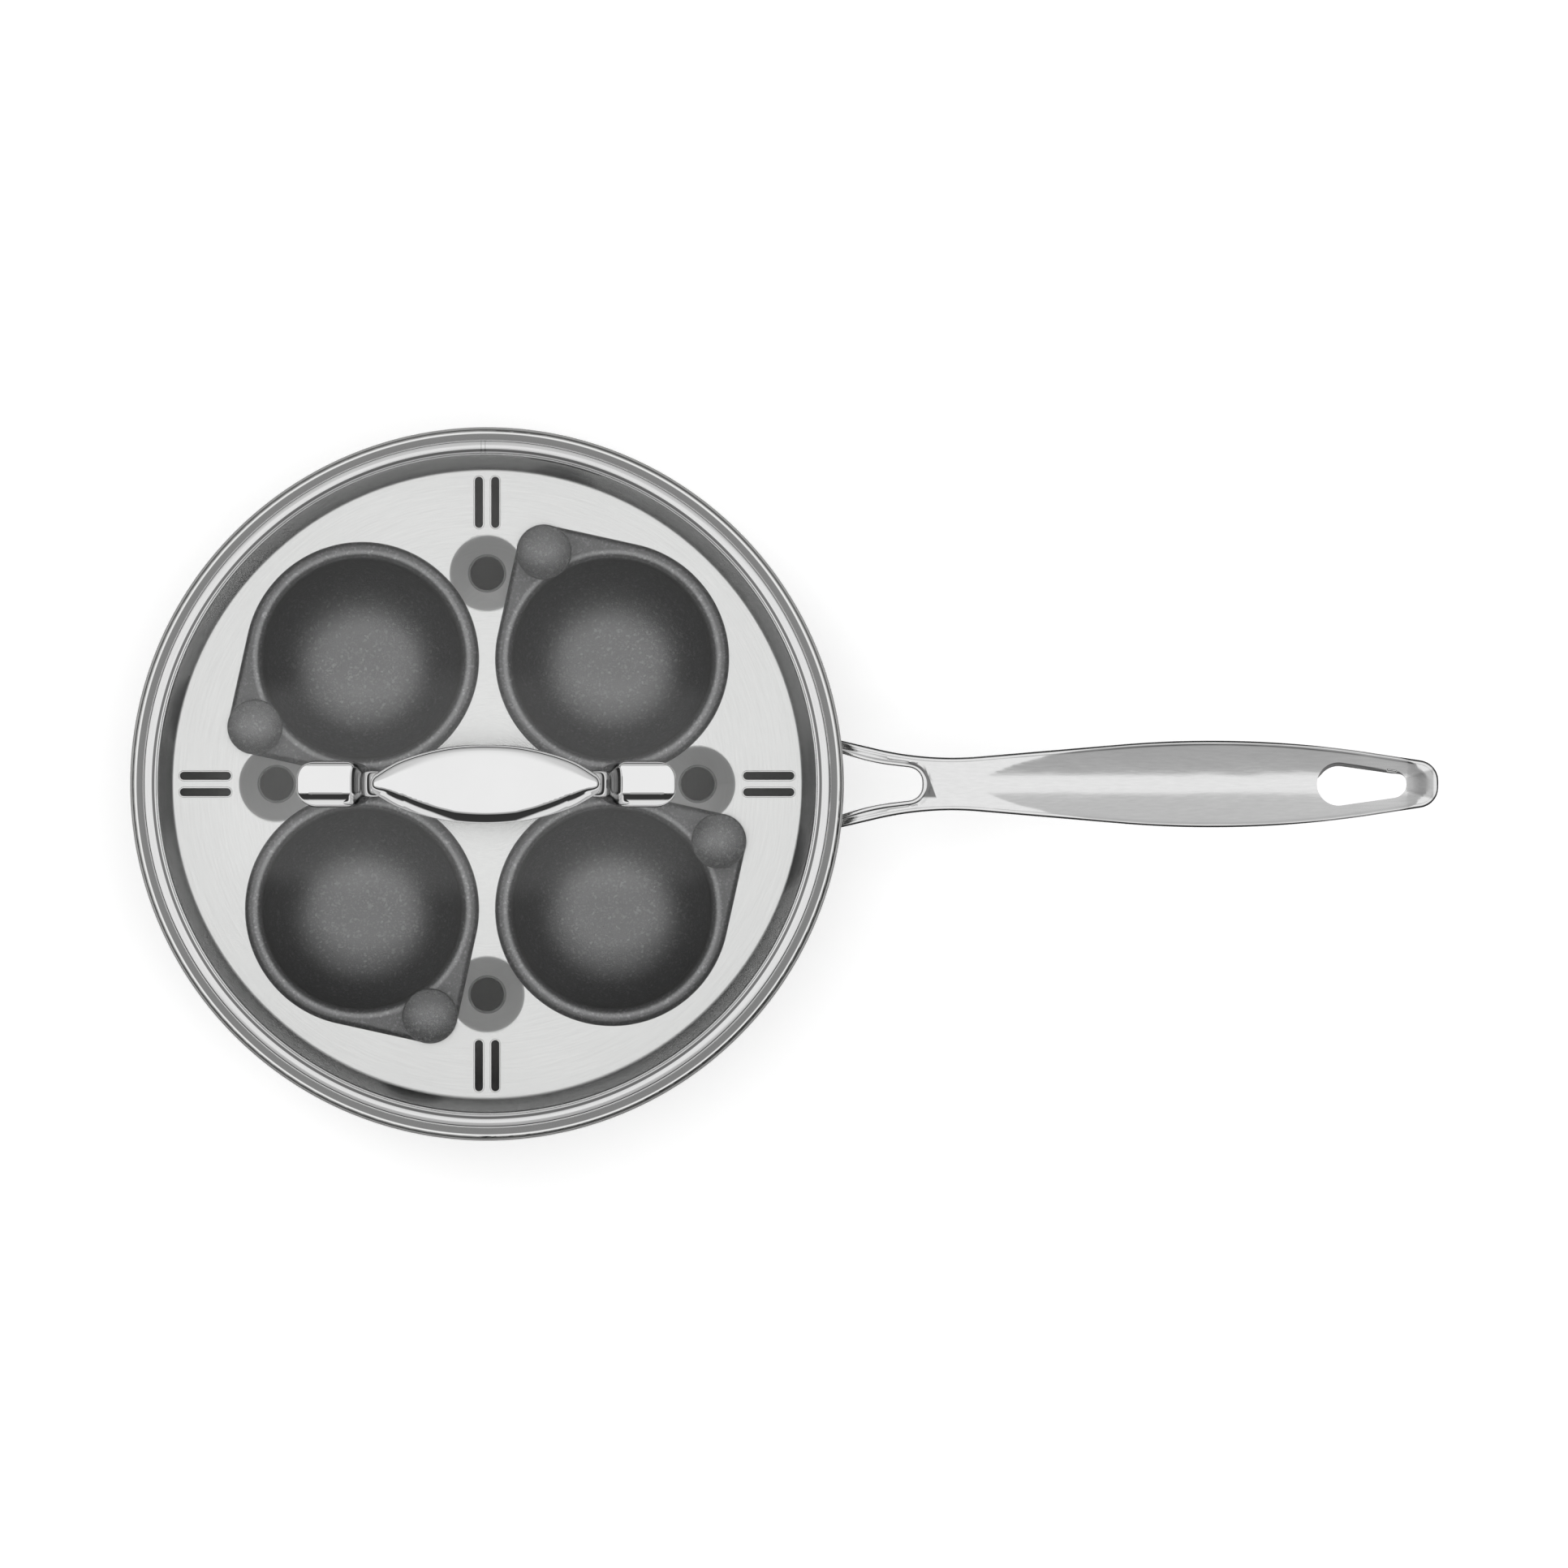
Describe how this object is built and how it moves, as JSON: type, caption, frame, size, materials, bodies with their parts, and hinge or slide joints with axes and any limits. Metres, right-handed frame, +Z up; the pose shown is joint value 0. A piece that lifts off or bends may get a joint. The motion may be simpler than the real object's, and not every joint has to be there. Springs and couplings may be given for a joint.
{
  "type": "egg poacher pan",
  "caption": "Round stainless pan with a long forked handle, a drop-in tray of dark egg cups with knobs, and a domed glass lid with a polished handle.",
  "frame": {"origin": "centre of the flat underside of the base, which stands on the hob", "axes": "+Z up, +X out along the long handle to its tip, +Y to the left of someone looking along +X"},
  "size_m": [0.3847, 0.21, 0.1232],
  "materials": {
    "pan_steel": "satin stainless steel, brushed round the wall",
    "cap_steel": "satin stainless steel",
    "core_aluminium": "bare aluminium",
    "handle_steel": "polished cast stainless steel",
    "rivet_steel": "plain stainless steel",
    "tray_steel": "bright stainless sheet",
    "cup_coating": "dark grey non-stick coating with a fine metallic fleck",
    "knob_black": "dark grey heat-proof plastic with a fine fleck",
    "screw_steel": "plain steel",
    "clear_glass": "clear toughened glass",
    "band_steel": "bright stainless band",
    "grip_chrome": "mirror-polished cast steel",
    "gasket_silicone": "translucent silicone"
  },
  "bodies": {
    "pan": {"pan_body": "pan_steel", "base_plate": "cap_steel", "base_core": "core_aluminium", "pan_handle": "handle_steel", "handle_rivets": "rivet_steel"},
    "tray": {"insert_tray": "tray_steel"},
    "lid": {"lid_glass": "clear_glass", "lid_rim": "band_steel", "lid_handle": "grip_chrome", "lid_gasket_left": "gasket_silicone", "lid_gasket_right": "gasket_silicone", "lid_washer_left": "screw_steel", "lid_washer_right": "screw_steel", "lid_screw_left": "screw_steel", "lid_screw_right": "screw_steel"},
    "cup_1": {"egg_cup_1": "cup_coating", "cup_knob_1": "knob_black", "knob_screw_1": "screw_steel"},
    "cup_2": {"egg_cup_2": "cup_coating", "cup_knob_2": "knob_black", "knob_screw_2": "screw_steel"},
    "cup_3": {"egg_cup_3": "cup_coating", "cup_knob_3": "knob_black", "knob_screw_3": "screw_steel"},
    "cup_4": {"egg_cup_4": "cup_coating", "cup_knob_4": "knob_black", "knob_screw_4": "screw_steel"}
  },
  "joints": [
    {"name": "tray_lift", "type": "slide", "parent": "pan", "child": "tray", "axis": [0, 0, 1], "range_m": [0, 0.06]},
    {"name": "lid_lift", "type": "slide", "parent": "tray", "child": "lid", "axis": [0, 0, 1], "range_m": [0, 0.09]},
    {"name": "cup_1_lift", "type": "slide", "parent": "tray", "child": "cup_1", "axis": [0, 0, 1], "range_m": [0, 0.04]},
    {"name": "cup_2_lift", "type": "slide", "parent": "tray", "child": "cup_2", "axis": [0, 0, 1], "range_m": [0, 0.04]},
    {"name": "cup_3_lift", "type": "slide", "parent": "tray", "child": "cup_3", "axis": [0, 0, 1], "range_m": [0, 0.04]},
    {"name": "cup_4_lift", "type": "slide", "parent": "tray", "child": "cup_4", "axis": [0, 0, 1], "range_m": [0, 0.04]}
  ],
  "couplings": [
    {"joint": "cup_1_lift", "follows": "lid_lift", "ratio": 0.44},
    {"joint": "cup_2_lift", "follows": "lid_lift", "ratio": 0.44},
    {"joint": "cup_3_lift", "follows": "lid_lift", "ratio": 0.44},
    {"joint": "cup_4_lift", "follows": "lid_lift", "ratio": 0.44}
  ]
}
